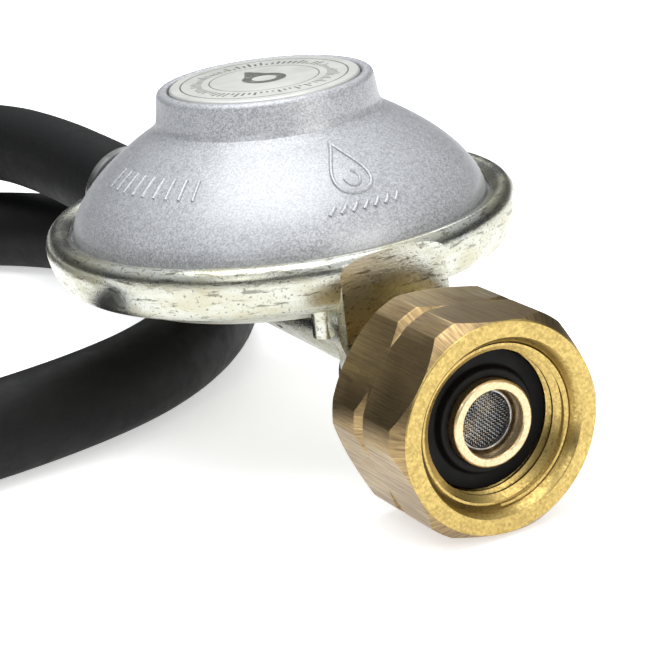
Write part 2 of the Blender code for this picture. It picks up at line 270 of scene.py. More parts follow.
def makeZinc():
    # Yellow-passivated zinc plate over a die casting: drawn lines round the rim, pits and stains
    material, tree, shader = newMaterial("passivatedZinc", Metallic=1.0, Roughness=0.3)
    angle, radius, height = roundCoords(tree)
    strips = combined(
        tree,
        maths(tree, "MULTIPLY", angle, 9.0),
        maths(tree, "MULTIPLY", radius, 1300.0),
        maths(tree, "MULTIPLY", height, 1500.0),
    )
    lines = noiseOn(tree, strips, 4.0, 0.6)
    blotches = noiseOn(tree, scaled(tree, (130.0, 130.0, 300.0)), 5.0, 0.65)
    specks = noiseOn(tree, scaled(tree, (1900.0, 1900.0, 2300.0)), 2.0, 0.6)
    tone = mixed(tree, span(tree, blotches, 0.35, 0.65), linear("c6c9c2"), linear("b9b69f"))
    tone = mixed(tree, span(tree, lines, 0.57, 0.65, 0.0, 0.7), tone, linear("5d594c"))
    tone = mixed(tree, span(tree, specks, 0.6, 0.68, 0.0, 0.6), tone, linear("413c33"))
    tree.links.new(tone, shader.inputs["Base Color"])
    tree.links.new(span(tree, blotches, 0.3, 0.7, 0.17, 0.36), shader.inputs["Roughness"])
    relief = maths(tree, "SUBTRACT", maths(tree, "MULTIPLY", lines, 0.6), specks)
    tree.links.new(bumpOf(tree, relief, 0.3, 0.00008), shader.inputs["Normal"])
    return material


def makeBrass(name, light, dark, middle, flats=None):
    # Machined brass: drawing marks run along the hex flats, and the turned faces have a dull fine grain.
    # Where flats are given, they take a darker brown than the turned face: drawing marks with painted shade
    material, tree, shader = newMaterial(name, Metallic=1.0, Roughness=0.32)
    angle, radius, run = roundCoords(tree, "y", middle)
    drawn = noiseOn(
        tree,
        combined(
            tree,
            maths(tree, "MULTIPLY", angle, 45.0),
            maths(tree, "MULTIPLY", radius, 300.0),
            maths(tree, "MULTIPLY", run, 110.0),
        ),
        5.0,
        0.7,
    )
    grain = noiseOn(tree, scaled(tree, (2300.0,) * 3), 2.0, 0.6)
    stains = noiseOn(tree, scaled(tree, (260.0,) * 3), 4.0, 0.65)
    marks = grain
    tone = mixed(tree, span(tree, grain, 0.35, 0.68), linear(light), linear(dark))
    if flats is not None:
        # outside the turned rings, and behind the front face: a darker streaked brown, drawing marks plus
        # painted shade
        outside = maths(tree, "GREATER_THAN", radius, flats["radius"] * mm)
        behind = maths(tree, "GREATER_THAN", run, -flats["front"] * mm)
        onFlat = maths(tree, "MULTIPLY", outside, behind)
        marks = addNode(tree, "ShaderNodeMix", {"data_type": "FLOAT"}, s0=onFlat, s2=grain, s3=drawn)
        marks = marks.outputs[0]
        # the flats' darker browns are painted shade laid over the drawing marks
        flatMarksAndShade = mixed(tree, span(tree, drawn, 0.36, 0.66), linear(flats["light"]), linear(flats["dark"]))
        tone = mixed(tree, onFlat, tone, flatMarksAndShade)
    tone = mixed(tree, span(tree, stains, 0.55, 0.75, 0.0, 0.45), tone, linear(dark))
    tree.links.new(tone, shader.inputs["Base Color"])
    tree.links.new(span(tree, marks, 0.3, 0.7, 0.25, 0.42), shader.inputs["Roughness"])
    tree.links.new(bumpOf(tree, marks, 0.25, 0.00005), shader.inputs["Normal"])
    return material


def makeSteel(name, light, dark, rough, scale=900.0):
    # Bright drawn or rolled steel with fine marks
    material, tree, shader = newMaterial(name, Metallic=1.0, Roughness=rough)
    marks = noiseOn(tree, scaled(tree, (scale, scale, scale * 0.3)), 4.0, 0.6)
    tree.links.new(
        mixed(tree, span(tree, marks, 0.35, 0.65), linear(light), linear(dark)), shader.inputs["Base Color"]
    )
    tree.links.new(span(tree, marks, 0.3, 0.7, rough * 0.8, rough * 1.3), shader.inputs["Roughness"])
    tree.links.new(bumpOf(tree, marks, 0.15, 0.00004), shader.inputs["Normal"])
    return material


def makeRubber(name, body, dust, rough, amount):
    # Moulded or extruded black rubber: matt, with dust caught in a fine grain
    material, tree, shader = newMaterial(name, Roughness=rough, Specular_IOR_Level=0.25)
    grain = noiseOn(tree, scaled(tree, (2200.0,) * 3), 3.0, 0.6)
    dusty = noiseOn(tree, scaled(tree, (260.0,) * 3), 5.0, 0.7)
    both = maths(tree, "MULTIPLY", span(tree, grain, 0.5, 0.75), span(tree, dusty, 0.42, 0.7))
    share = maths(tree, "MULTIPLY", both, amount)
    tree.links.new(mixed(tree, share, linear(body), linear(dust)), shader.inputs["Base Color"])
    tree.links.new(span(tree, dusty, 0.3, 0.7, rough * 0.85, rough * 1.15), shader.inputs["Roughness"])
    tree.links.new(bumpOf(tree, grain, 0.3, 0.00008), shader.inputs["Normal"])
    return material


def makePlastic(name, light, dark, rough):
    # Moulded plastic with a spark-eroded grain of about 0.2 mm
    material, tree, shader = newMaterial(name, Roughness=rough)
    grain = noiseOn(tree, scaled(tree, (3200.0,) * 3), 2.0)
    clouds = noiseOn(tree, scaled(tree, (150.0,) * 3), 3.0)
    tree.links.new(
        mixed(tree, span(tree, clouds, 0.35, 0.65), linear(light), linear(dark)), shader.inputs["Base Color"]
    )
    tree.links.new(bumpOf(tree, grain, 0.25, 0.00005), shader.inputs["Normal"])
    return material


label = {
    "ink": "55574f",
    "outerRing": (12.7, 12.95),  # printed rings, mm
    "innerRing": (8.3, 8.5),
    "tickBand": (9.6, 11.9),
    "ticks": 72,
    "drop": 3.4,
}


def makeLabelPrint():
    # Printed aluminium-grey foil: rings, a band of dial ticks and a plain drop
    material, tree, shader = newMaterial("printedFoil", Metallic=0.35, Roughness=0.42)
    angle, radius, height = roundCoords(tree)

    def band(low, high):
        inside = maths(tree, "GREATER_THAN", radius, low * mm)
        outside = maths(tree, "LESS_THAN", radius, high * mm)
        return maths(tree, "MULTIPLY", inside, outside)

    step = math.tau / label["ticks"]
    cell = maths(tree, "DIVIDE", angle, step)
    slot = maths(tree, "FLOOR", cell)
    within = maths(tree, "LESS_THAN", maths(tree, "SUBTRACT", cell, slot), 0.42)
    chance = addNode(
        tree, "ShaderNodeTexWhiteNoise", {"noise_dimensions": "1D"}, W=slot
    ).outputs["Value"]
    low, high = label["tickBand"]
    reach = span(tree, chance, 0.0, 1.0, (low + 0.7) * mm, high * mm)
    pastFoot = maths(tree, "GREATER_THAN", radius, low * mm)
    tall = maths(tree, "MULTIPLY", pastFoot, maths(tree, "LESS_THAN", radius, reach))
    ticks = maths(tree, "MULTIPLY", tall, within)
    # a drop: a circle whose upper half narrows to a point
    place = addNode(tree, "ShaderNodeTexCoord").outputs["Object"]
    x, y, _ = addNode(tree, "ShaderNodeSeparateXYZ", None, Vector=place).outputs
    size = label["drop"] * mm
    widen = maths(tree, "MULTIPLY", span(tree, y, 0.0, 1.9 * size, 1.0, 0.05), size)
    dropShape = maths(
        tree,
        "MULTIPLY",
        maths(tree, "LESS_THAN", maths(tree, "ABSOLUTE", x), widen),
        maths(tree, "MULTIPLY", maths(tree, "LESS_THAN", y, 1.9 * size), maths(tree, "GREATER_THAN", y, 0.0)),
    )
    dropRound = maths(tree, "LESS_THAN", radius, size)
    drop = maths(tree, "MAXIMUM", dropRound, dropShape)
    hollow = maths(tree, "LESS_THAN", radius, size * 0.55)
    drop = maths(tree, "SUBTRACT", drop, hollow)
    ink = maths(tree, "MAXIMUM", band(*label["outerRing"]), band(*label["innerRing"]))
    ink = maths(tree, "MAXIMUM", ink, maths(tree, "MAXIMUM", ticks, drop))
    worn = noiseOn(tree, scaled(tree, (700.0,) * 3), 3.0, 0.7)
    ink = maths(tree, "MULTIPLY", ink, span(tree, worn, 0.3, 0.5, 0.55, 0.95))
    clouds = noiseOn(tree, scaled(tree, (220.0,) * 3), 3.0)
    foil = mixed(tree, span(tree, clouds, 0.35, 0.65), linear("d3d5cf"), linear("c6c8c2"))
    tree.links.new(mixed(tree, ink, foil, linear(label["ink"])), shader.inputs["Base Color"])
    tree.links.new(bumpOf(tree, worn, 0.1, 0.00003), shader.inputs["Normal"])
    return material


nutMiddle = (0.0, 0.0, 0.01572)
finish = {
    "silver_paint": makeFlakePaint(),
    "label_plastic": makeLabelPrint(),
    "zinc_plate": makeZinc(),
    "spring_steel": makeSteel("brightSpringSteel", "b9bbbd", "8d9093", 0.28),
    "brass": makeBrass(
        "freeCuttingBrass",
        "c9b06c",
        "a89157",
        nutMiddle,
        # the flat browns are darker than the face's: painted shade along with the drawing marks
        {"radius": 13.2, "front": 61.3, "light": "ab9468", "dark": "78634a"},
    ),
    "pale_brass": makeBrass("paleTurnedBrass", "e4cfaa", "cfb78d", nutMiddle),
    "woven_steel": makeSteel("wovenStainless", "a9abac", "77797b", 0.3, 2500.0),
    "black_rubber": makeRubber("extrudedRubber", "040405", "191918", 0.6, 0.4),
    "nitrile_sheet": makeRubber("nitrileSheet", "1c1c1e", "3a3a3a", 0.6, 0.3),
    "black_plastic": makePlastic("mouldedAcetal", "1b1b1c", "262628", 0.42),
    "gasket_rubber": makeRubber("gasketRubber", "030304", "0b0b0c", 0.6, 0.3),
}
crimpedZinc = makeSteel("crimpedZincedSteel", "d2d3cf", "9b9d98", 0.27, 500.0)
record = frame["record"]
slotOf = {part["node"]: part["material_slot"] for part in record["subparts"]}
for name, node in nodes.items():
    node.data.materials.clear()
    node.data.materials.append(finish[slotOf[name]])
print("materials made")


# Shaping helpers
faceSlack = 0.02 * mm


def edgesOfFace(mesh, y):
    # Keeps the edge crisp all round a milled face that looks along -Y
    shape = bmesh.new()
    shape.from_mesh(mesh)
    for edge in shape.edges:
        on = [
            f
            for f in edge.link_faces
            if f.normal.y < -0.999 and abs(f.calc_center_median().y - y) < faceSlack
        ]
        if len(on) == 1:
            edge.smooth = False
    shape.to_mesh(mesh)
    shape.free()


def finished(name, mesh, body, replaced=(), material=None, angle=32):
    obj = bpy.data.objects.new(name, mesh)
    bpy.context.scene.collection.objects.link(obj)
    mesh.materials.clear()
    slotName = slotOf[replaced[0]] if replaced else None
    mesh.materials.append(material or finish[slotName])
    mesh.polygons.foreach_set("use_smooth", [True] * len(mesh.polygons))
    mesh.set_sharp_from_angle(angle=math.radians(angle))
    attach(obj, body)
    if replaced:
        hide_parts(*replaced)
    return obj


def rounded(profile, radius, closed):
    # Breaks every corner of a lathe profile with a small arc
    if radius <= 0:
        return list(profile)
    out = []
    count = len(profile)
    for i, here in enumerate(profile):
        p = Vector(here)
        if not closed and i in (0, count - 1):
            out.append(p)
            continue
        a = Vector(profile[i - 1]) - p
        b = Vector(profile[(i + 1) % count]) - p
        if a.length < 1e-6 or b.length < 1e-6 or a.angle(b) > math.radians(165):
            out.append(p)
            continue
        reach = min(radius, a.length * 0.4, b.length * 0.4)
        start = p + a.normalized() * reach
        stop = p + b.normalized() * reach
        for t in (0.0, 0.33, 0.67, 1.0):
            out.append(start * (1 - t) ** 2 + 2 * t * (1 - t) * p + stop * t * t)
    return [(v.x, v.y) for v in out]


def lathe(name, profile, steps=128, closed=True, ease=0.2, place=None, phase=0.0):
    # (radius, height) in millimetres, turned round +Z and then put in its place
    points = rounded(profile, ease, closed)
    mesh = bpy.data.meshes.new(name)
    shape = bmesh.new()
    rings = []
    for r, h in points:
        if r < 1e-6:
            rings.append([shape.verts.new((0, 0, h * mm))])
        else:
            rings.append(
                [
                    shape.verts.new(
                        (
                            r * mm * math.cos(math.tau * (i + phase) / steps),
                            r * mm * math.sin(math.tau * (i + phase) / steps),
                            h * mm,
                        )
                    )
                    for i in range(steps)
                ]
            )
    pairs = list(zip(rings, rings[1:]))
    if closed:
        pairs.append((rings[-1], rings[0]))
    for low, high in pairs:
        for i in range(steps):
            j = (i + 1) % steps
            corners = [low[i % len(low)], low[j % len(low)], high[j % len(high)], high[i % len(high)]]
            unique = []
            for corner in corners:
                if corner not in unique:
                    unique.append(corner)
            if len(unique) > 2:
                shape.faces.new(unique)
    bmesh.ops.recalc_face_normals(shape, faces=shape.faces)
    shape.to_mesh(mesh)
    shape.free()
    if place is not None:
        mesh.transform(place)
    return mesh


def alongInlet(height=15.72):
    return Matrix.Translation((0, 0, height * mm)) @ Matrix.Rotation(math.radians(90), 4, "X")


def alongOutlet(height=25.4):
    return Matrix.Translation((0, 0, height * mm)) @ Matrix.Rotation(math.radians(-90), 4, "X")


hoseEnd = Matrix.Translation((-109.5 * mm, 90.0 * mm, 9.8 * mm)) @ Matrix.Rotation(math.radians(90), 4, "X")


def rodMesh(name, radius, low, high, steps=64, place=None):
    # turned a little, so that its corners never meet another piece's in a boolean
    ends = [(0, high), (radius, high), (radius, low), (0, low)]
    return lathe(name, ends, steps, False, 0.0, place, 0.37)


def boxMesh(name, low, high):
    mesh = bpy.data.meshes.new(name)
    shape = bmesh.new()
    bmesh.ops.create_cube(shape, size=1.0)
    bmesh.ops.scale(shape, vec=[(b - a) * mm for a, b in zip(low, high)], verts=shape.verts)
    bmesh.ops.translate(shape, vec=[(a + b) / 2 * mm for a, b in zip(low, high)], verts=shape.verts)
    shape.to_mesh(mesh)
    shape.free()
    return mesh


def hexMesh(name, flats, low, high, turn, place):
    corner = flats / 2 / math.cos(math.pi / 6)
    mesh = bpy.data.meshes.new(name)
    spots = [
        (
            corner * mm * math.cos(math.radians(turn + 60 * i)),
            corner * mm * math.sin(math.radians(turn + 60 * i)),
            h * mm,
        )
        for h in (low, high)
        for i in range(6)
    ]
    sides = [(i, (i + 1) % 6, (i + 1) % 6 + 6, i + 6) for i in range(6)]
    mesh.from_pydata(spots, [], sides + [(5, 4, 3, 2, 1, 0), (6, 7, 8, 9, 10, 11)])
    mesh.transform(place)
    return mesh


def carved(mesh, steps):
    # Runs a list of (operation, mesh) booleans and gives back one plain mesh
    # worked a thousand times larger, where the solver is surer of small edges
    scene = bpy.context.scene.collection
    obj = bpy.data.objects.new("work", mesh)
    mesh.transform(Matrix.Scale(1 / mm, 4))
    scene.objects.link(obj)
    tools = []
    for operation, other in steps:
        other.transform(Matrix.Scale(1 / mm, 4))
        tool = bpy.data.objects.new("tool", other)
        scene.objects.link(tool)
        tools.append(tool)
        boolean = obj.modifiers.new("carve", "BOOLEAN")
        boolean.operation = operation
        boolean.solver = "EXACT"
        boolean.object = tool
    bpy.context.view_layer.update()
    graph = bpy.context.evaluated_depsgraph_get()
    out = bpy.data.meshes.new_from_object(obj.evaluated_get(graph))
    out.transform(Matrix.Scale(mm, 4))
    for tool in tools:
        bpy.data.objects.remove(tool, do_unlink=True)
    bpy.data.objects.remove(obj, do_unlink=True)
    return out


def joined(name, meshes):
    shape = bmesh.new()
    for mesh in meshes:
        shape.from_mesh(mesh)
    out = bpy.data.meshes.new(name)
    shape.to_mesh(out)
    shape.free()
    return out


def sweep(name, path, radius, sides=32, caps=True, closed=False, flat=1.0):
    # A tube along a list of points, with its frame carried on from point to point
    spots = [Vector(p) for p in path]
    count = len(spots)
    shape = bmesh.new()
    rings = []
    ahead = [
        (spots[min(i + 1, count - 1)] - spots[max(i - 1, 0)]).normalized() for i in range(count)
    ]
    side = ahead[0].orthogonal().normalized()
    for spot, way in zip(spots, ahead):
        side = (side - way * side.dot(way)).normalized()
        other = way.cross(side)
        rings.append(
            [
                shape.verts.new(
                    spot
                    + (side * math.cos(math.tau * k / sides) + other * math.sin(math.tau * k / sides) * flat)
                    * radius
                )
                for k in range(sides)
            ]
        )
    for low, high in zip(rings, rings[1:]):
        for k in range(sides):
            n = (k + 1) % sides
            shape.faces.new((low[k], low[n], high[n], high[k]))
    if caps:
        shape.faces.new(rings[0][::-1])
        shape.faces.new(rings[-1])
    bmesh.ops.recalc_face_normals(shape, faces=shape.faces)
    mesh = bpy.data.meshes.new(name)
    shape.to_mesh(mesh)
    shape.free()
    return mesh


# The hose
hose = {"radius": 7.5, "samples": 360, "sides": 48, "low": 7.55, "ferruleGap": 0.3}
hoseLow = hose["low"]
hoseRoute = [
    (0.0, 61.8, 25.4), (0.0, 79.0, 25.9), (-0.5, 97.0, 26.2), (-2.0, 115.0, 26.0), (-5.0, 133.0, 24.6),
    (-9.5, 151.0, 21.4), (-14.5, 168.0, 17.6), (-20.0, 185.0, 13.4), (-26.5, 202.0, 9.8),
    (-35.0, 218.0, 7.9), (-47.5, 232.5, hoseLow), (-64.5, 243.0, hoseLow), (-86.0, 246.0, hoseLow),
    (-111.0, 239.5, hoseLow), (-135.0, 222.0, hoseLow), (-152.0, 196.0, hoseLow),
    (-161.0, 166.0, hoseLow), (-163.0, 136.0, hoseLow), (-159.0, 104.0, hoseLow),
    (-148.0, 71.0, hoseLow), (-128.0, 42.0, hoseLow), (-101.0, 21.5, hoseLow), (-72.0, 12.5, hoseLow),
    (-44.0, 12.0, hoseLow), (-18.0, 19.5, hoseLow), (1.0, 36.0, hoseLow), (11.5, 58.0, hoseLow),
    (12.5, 84.0, hoseLow), (6.0, 105.0, hoseLow), (-6.0, 124.5, hoseLow), (-24.0, 140.0, hoseLow),
    (-47.0, 149.0, hoseLow), (-71.0, 147.5, hoseLow), (-90.0, 137.5, 8.4), (-103.0, 123.0, 9.4),
    (-109.5, 106.0, 9.8), (-109.5, 90.0, 9.8),
]


def smoothRoute(route, count):
    # A Catmull-Rom curve through the route, read at equal steps of its length
    spots = [Vector(p) * mm for p in route]
    spots = [2 * spots[0] - spots[1]] + spots + [2 * spots[-1] - spots[-2]]
    fine = []
    for a, b, c, d in zip(spots, spots[1:], spots[2:], spots[3:]):
        for i in range(30):
            t = i / 30
            fine.append(
                0.5
                * (2 * b + (c - a) * t + (2 * a - 5 * b + 4 * c - d) * t * t + (3 * b - a - 3 * c + d) * t**3)
            )
    fine.append(spots[-2])
    travelled = [0.0]
    for a, b in zip(fine, fine[1:]):
        travelled.append(travelled[-1] + (b - a).length)
    even = []
    j = 0
    for i in range(count):
        goal = travelled[-1] * i / (count - 1)
        while j < len(fine) - 2 and travelled[j + 1] < goal:
            j += 1
        share = (goal - travelled[j]) / (travelled[j + 1] - travelled[j])
        even.append(fine[j].lerp(fine[j + 1], min(max(share, 0.0), 1.0)))
    return even, travelled[-1]


def ferruleProfile(top, low):
    step = (top - low) / 7
    outer = [(9.0, top)]
    for i in range(1, 7):
        outer.append((9.3 if i % 2 == 0 else 8.6, top - i * step))
    return [(4.3, top)] + outer + [(9.0, low), (4.3, low)]


def makeHose():
    path, length = smoothRoute(hoseRoute, hose["samples"])
    print(f"hose length {length:.4f} m")
    tube = finished(
        "rubberHose", sweep("rubberHose", path, hose["radius"] * mm, hose["sides"]), "regulator", ["hose"]
    )
    endFerrule = finished(
        "endFerrule",
        lathe("endFerrule", ferruleProfile(17.0, 0.3), 96, True, 0.5, hoseEnd),
        "regulator",
        ["end_ferrule"],
        crimpedZinc,
    )
    endTail = finished(
        "endTail",
        lathe(
            "endTail",
            [
                (3.0, 27.5), (3.2, 26.0), (7.4, 26.0), (7.4, 22.3), (5.4, 21.8), (5.4, 19.0),
                (7.6, 19.0), (7.6, 17.3), (4.0, 17.3), (4.0, 0.6), (2.6, 0.6), (2.6, 27.5),
            ],
            96,
            True,
            0.25,
            hoseEnd,
        ),
        "regulator",
        ["end_tail"],
    )
    endGasket = finished(
        "endGasket",
        lathe("endGasket", [(7.8, 28.2), (7.8, 26.3), (3.6, 26.3), (3.6, 28.2)], 96, True, 0.3, hoseEnd),
        "regulator",
        ["end_gasket"],
    )
    nut = lathe(
        "endNut",
        [
            (9.0, 33.0), (9.6, 33.0), (10.9, 32.2), (10.9, 20.0), (9.8, 19.3), (5.9, 19.3),
            (5.9, 21.6), (8.2, 22.0), (8.2, 32.2),
        ],
        120,
        True,
        0.15,
        hoseEnd,
    )
    nut = carved(nut, [("INTERSECT", hexMesh("endFlats", 19.0, 18.0, 35.0, 0.0, hoseEnd))])
    thread = threadMesh(8.25, 7.5, 28.9, 32.0, 1.34, -1, hoseEnd)
    endNut = finished("endNut", joined("endNut", [nut, thread]), "end_nut", ["end_nut"])


def threadMesh(root, crest, low, high, pitch, hand, place):
    # One helical ridge, root and crest radii in millimetres; hand -1 is left-handed
    perTurn = 96
    turns = (high - low) / pitch
    count = int(turns * perTurn)
    shape = bmesh.new()
    rows = []
    for i in range(count + 1):
        angle = hand * math.tau * i / perTurn
        middle = low + pitch * i / perTurn
        fade = min(1.0, i / 30, (count - i) / 80)
        tip = root - (root - crest) * max(fade, 0.02)
        half = pitch * 0.46 * max(fade, 0.1)
        row = []
        for r, h in (
            (root + 0.35, middle - half),
            (root, middle - half),
            (tip, middle - half * 0.22),
            (tip, middle + half * 0.22),
            (root, middle + half),
            (root + 0.35, middle + half),
        ):
            row.append(shape.verts.new((r * mm * math.cos(angle), r * mm * math.sin(angle), h * mm)))
        rows.append(row)
    for lower, upper in zip(rows, rows[1:]):
        for k in range(6):
            n = (k + 1) % 6
            shape.faces.new((lower[k], lower[n], upper[n], upper[k]))
    shape.faces.new(rows[0][::-1])
    shape.faces.new(rows[-1])
    bmesh.ops.recalc_face_normals(shape, faces=shape.faces)
    mesh = bpy.data.meshes.new("thread")
    shape.to_mesh(mesh)
    shape.free()
    mesh.transform(place)
    return mesh


makeHose()
print("hose laid")

# The round cover
domeLine = [
    (32.1, 34.2), (31.8, 36.0), (30.9, 38.0), (28.7, 41.0), (25.6, 44.0), (21.5, 47.0), (18.6, 48.8),
    (17.5, 49.8), (17.15, 51.0), (16.6, 54.6), (16.1, 55.1),
]
emblem = {
    "angle": -90.0,  # above the inlet
    "along": 12.0,
    "height": 10.0,
    "ridge": 0.62,
    "dashes": 7,
    "dashAlong": 5.6,
}


def makeDomeCurve():
    # The outside of the dome as a smooth run of points from groove to boss
    spots = [Vector((r, z)) for r, z in domeLine[1:8]]
    spots = [2 * spots[0] - spots[1]] + spots + [2 * spots[-1] - spots[-2]]
    fine = []
    for a, b, c, d in zip(spots, spots[1:], spots[2:], spots[3:]):
        for i in range(8):
            t = i / 8
            fine.append(
                0.5
                * (2 * b + (c - a) * t + (2 * a - 5 * b + 4 * c - d) * t * t + (3 * b - a - 3 * c + d) * t**3)
            )
    fine.append(spots[-2])
    return fine


domeCurve = makeDomeCurve()


def onDome(angle, along, lift=0.0):
    # A point on the dome, along = millimetres up the slope from the groove
    left = along
    for a, b in zip(domeCurve, domeCurve[1:]):
        step = (b - a).length
        if left <= step or b is domeCurve[-1]:
            spot = a.lerp(b, left / step)
            way = (b - a).normalized()
            out = Vector((way.y, -way.x))
            if out.x < 0:
                out = -out
            spot = spot + out * lift
            turn = math.radians(angle)
            return Vector((spot.x * math.cos(turn), spot.x * math.sin(turn), spot.y)) * mm
        left -= step


def ridge(points, width, closed=False):
    # A low rounded bead on the dome through (sideways, upslope) points in millimetres
    path = []
    radius = 28.0
    for s, t in points:
        path.append(onDome(emblem["angle"] + math.degrees(s / radius), t, 0.02))
    if closed:
        path.append(path[0])
        path.append(path[1])
    return sweep("bead", path, width * 0.5 * mm, 8, True)


def makeCover():
    inner = [
        (34.6, 34.2), (34.6, 32.5), (30.8, 32.5), (30.2, 34.6), (28.7, 37.4), (26.4, 40.2),
        (23.2, 42.8), (18.6, 45.6), (13.6, 47.8), (13.6, 53.9), (14.9, 53.9), (14.9, 54.95),
        (15.35, 55.1),
    ]
    outer = [(p.x, p.y) for p in reversed(domeCurve)]
    profile = [(16.1, 55.1), (16.6, 54.6), (17.0, 51.6), (17.15, 50.6)] + outer + [(32.1, 34.2)] + inner
    body = lathe("cover", profile, 192, True, 0.28)
    vent = rodMesh("vent", 1.1, 20.0, 40.0, 32)
    vent.transform(
        Matrix.Translation((0, 0, 0.018))
        @ Matrix.Rotation(math.radians(-25), 4, "Z")
        @ Matrix.Rotation(math.radians(-52), 4, "X")
    )
    body = carved(body, [("DIFFERENCE", vent)])
    beads = []
    tall = emblem["height"]
    base = emblem["along"] - tall * 0.42
    drop = []
    for i in range(48):
        turn = math.tau * i / 48
        side = math.sin(turn) * math.sin(turn / 2) ** 1.6
        drop.append((side * tall * 0.46, base + tall * (0.5 + 0.5 * math.cos(turn))))
    beads.append(ridge(drop, emblem["ridge"], True))
    curl = [
        (tall * 0.13 * math.sin(a), base + tall * 0.27 + tall * 0.14 * math.cos(a))
        for a in [math.radians(20 + 12 * i) for i in range(22)]
    ]
    beads.append(ridge(curl, emblem["ridge"] * 0.8))
    count = emblem["dashes"]
    for i in range(count):
        s = (i - (count - 1) / 2) * 1.7
        low = emblem["dashAlong"]
        beads.append(ridge([(s - 0.55, low - 0.6), (s + 0.1, low), (s + 0.55, low + 0.6)], emblem["ridge"]))
    for i in range(9):
        # a row of grip bars on the far left
        s = -46.0 + i * 2.5
        beads.append(ridge([(s, 9.4), (s, 10.6), (s, 11.8), (s, 13.0)], emblem["ridge"]))
    finished("domedCover", joined("domedCover", [body] + beads), "regulator", ["upper_cover"], None, 40)
    disc = lathe(
        "labelDisc", [(0, 55.2), (14.35, 55.2), (14.6, 54.95), (14.6, 54.2), (0, 54.2)], 128, False, 0.1
    )
    finished("printedLabel", disc, "regulator", ["label_disc"])


makeCover()
print("cover made")

# The zinc body
body = {"steps": 192, "inletFlat": 35.35, "half": 8.6, "ductR": 9.4}


def plateMesh(half, front, back, top):
    # The milled plate with a half-round foot about the inlet's axis
    rim = [(half, top)]
    rim += [
        (half * math.cos(math.pi * i / 40), 15.72 - half * math.sin(math.pi * i / 40)) for i in range(41)
    ]
    rim.append((-half, top))
    count = len(rim)
    mesh = bpy.data.meshes.new("plate")
    spots = [(x * mm, -y * mm, z * mm) for y in (front, back) for x, z in rim]
    faces = [(i, (i + 1) % count, (i + 1) % count + count, i + count) for i in range(count)]
    faces += [tuple(range(count))[::-1], tuple(range(count, 2 * count))]
    mesh.from_pydata(spots, [], faces)
    shape = bmesh.new()
    shape.from_mesh(mesh)
    bmesh.ops.recalc_face_normals(shape, faces=shape.faces)
    shape.to_mesh(mesh)
    shape.free()
    return mesh


def makeBody():
    flat = body["inletFlat"]
    half = body["half"]
    shell = lathe(
        "shell",
        [
            (0, 35.15), (32.3, 35.15), (32.9, 35.5), (33.9, 35.95), (34.7, 36.0), (35.3, 35.8),
            (35.8, 35.3), (36.2, 34.6), (36.4, 33.6), (36.38, 32.6), (36.2, 31.7), (35.85, 30.4),
            (35.3, 29.1), (34.5, 28.2), (33.2, 27.8), (31.8, 27.2), (28.0, 25.5), (20.0, 22.9),
            (11.0, 20.9), (0, 20.6),
        ],
        body["steps"],
        False,
        0.4,
    )
    steps = [
        ("UNION", rodMesh("duct", body["ductR"], -34.3, 42.0, 100, alongOutlet())),
        ("UNION", plateMesh(half, flat + 0.8, flat - 3.2, 33.6)),
        ("UNION", rodMesh("boss", 6.5, 27.0, flat - 1.0, 60, alongInlet())),
    ]
    for side in (-1, 1):
        rib = rodMesh("rib", 1.9, 23.4, 30.0, 40)
        rib.transform(Matrix.Translation((side * 8.9 * mm, -29.4 * mm, 0)))
        steps.append(("UNION", rib))
    cavity = lathe(
        "cavity",
        [
            (0, 37.5), (32.53, 37.5), (32.53, 34.6), (34.9, 34.5), (34.9, 31.3), (31.0, 31.3),
            (30.2, 29.5), (27.5, 27.3), (20.0, 24.7), (11.0, 22.7), (0, 22.4),
        ],
        body["steps"],
        False,
        0.0,
    )
    pinHole = rodMesh("pinHole", 1.25, -7.9, 7.9, 24)
    pinHole.transform(
        Matrix.Translation((0, -11.5 * mm, 21.0 * mm)) @ Matrix.Rotation(math.radians(90), 4, "Y")
    )
    riser = rodMesh("riser", 1.9, 14.72, 26.0, 24)
    riser.transform(Matrix.Translation((0, -31.0 * mm, 0)))
    steps += [
        ("DIFFERENCE", boxMesh("flat", (-15.0, -45.0, 4.0), (15.0, -flat, 45.0))),
        ("DIFFERENCE", cavity),
        ("DIFFERENCE", rodMesh("trough", 7.4, -17.0, 24.0, 64, alongOutlet())),
        ("DIFFERENCE", rodMesh("guide", 4.1, 10.0, 26.0, 48, alongInlet(25.0))),
        ("DIFFERENCE", rodMesh("jetHole", 3.5, 20.0, 31.0, 48, alongInlet(25.0))),
        ("DIFFERENCE", riser),
        ("DIFFERENCE", rodMesh("inletHole", 5.8, 29.0, 45.0, 64, alongInlet())),
        ("DIFFERENCE", rodMesh("outletHole", 6.3, 31.0, 50.0, 64, alongOutlet())),
        ("DIFFERENCE", rodMesh("passage", 3.0, 20.0, 33.0, 48, alongOutlet())),
        ("DIFFERENCE", pinHole),
    ]
    cast = finished("zincBody", carved(shell, steps), "regulator", ["lower_body"], None, 28)
    edgesOfFace(cast.data, -flat * mm)


makeBody()
print("body made")

# The inlet
nut = {"flats": 30.0, "corner": 16.42, "turn": 52.9, "face": 61.5, "length": 19.5, "pitch": 1.814}


